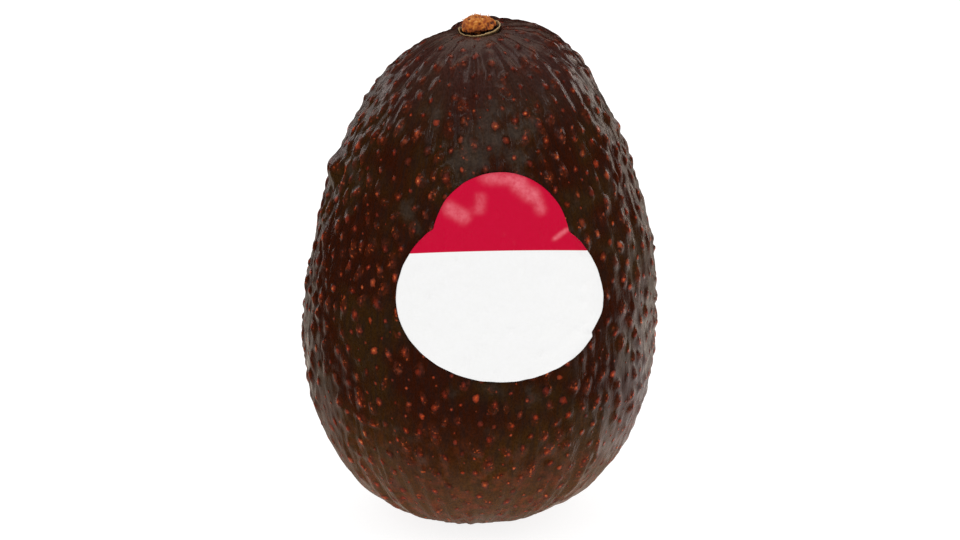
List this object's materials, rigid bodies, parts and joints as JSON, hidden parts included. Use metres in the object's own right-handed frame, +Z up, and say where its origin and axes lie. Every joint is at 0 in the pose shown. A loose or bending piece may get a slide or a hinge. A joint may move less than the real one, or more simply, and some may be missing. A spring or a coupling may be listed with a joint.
{
  "type": "avocado",
  "caption": "Whole ripe pear-shaped fruit with dark pebbled skin, a corky stem button in its crown and a blank die-cut label on its front, standing on a small flat spot.",
  "frame": {"origin": "centre of the flat spot at the broad end, on the surface that the fruit stands on", "axes": "+Z up from the flat spot to the stem, +X to the right as the label is seen, the label facing -Y"},
  "size_m": [0.068, 0.0665, 0.0996],
  "materials": {
    "skin": "dark brown pebbled rind with a waxy half gloss and rust-red pores",
    "cork": "rough dry cork, rust brown",
    "label_paper": "coated sticker paper, white with a plain red upper field"
  },
  "bodies": {
    "root": {"fruit": "skin", "stem_button": "cork", "label": "label_paper"}
  },
  "joints": []
}
